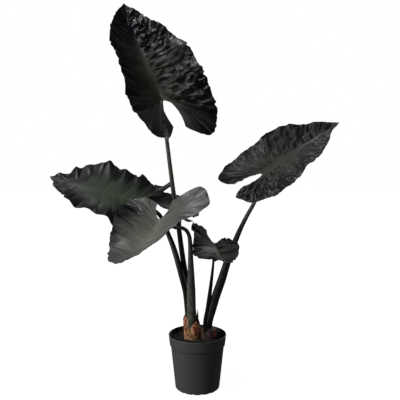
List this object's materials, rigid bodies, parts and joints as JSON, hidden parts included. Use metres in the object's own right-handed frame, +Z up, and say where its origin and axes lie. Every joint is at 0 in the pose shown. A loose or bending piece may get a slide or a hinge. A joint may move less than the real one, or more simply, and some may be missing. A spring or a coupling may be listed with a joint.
{
  "type": "potted alocasia",
  "caption": "Tall potted aroid with dark, crinkled, arrow-shaped leaves on long arching stems rising from ringed corms in the soil of a tapered black nursery pot.",
  "frame": {"origin": "middle of the flat underside of the pot, on the floor", "axes": "+Z up along the pot's axis; -Y towards the side that faces a viewer; +X to that viewer's right"},
  "size_m": [0.9123, 0.5711, 1.2173],
  "materials": {
    "pot_plastic": "satin",
    "potting_soil": "matte",
    "pale_corm": "matte",
    "dark_corm": "matte",
    "stem_skin": "satin",
    "leaf_blade": "satin"
  },
  "bodies": {
    "root": {"pot": "pot_plastic", "soil": "potting_soil", "corm_left": "pale_corm", "corm_right": "dark_corm", "stem_top": "stem_skin", "stem_right": "stem_skin", "stem_left": "stem_skin", "stem_front": "stem_skin", "stem_small": "stem_skin", "stem_rear": "stem_skin", "blade_top": "leaf_blade", "blade_right": "leaf_blade", "blade_left": "leaf_blade", "blade_front": "leaf_blade", "blade_small": "leaf_blade", "blade_rear": "leaf_blade"}
  },
  "joints": []
}
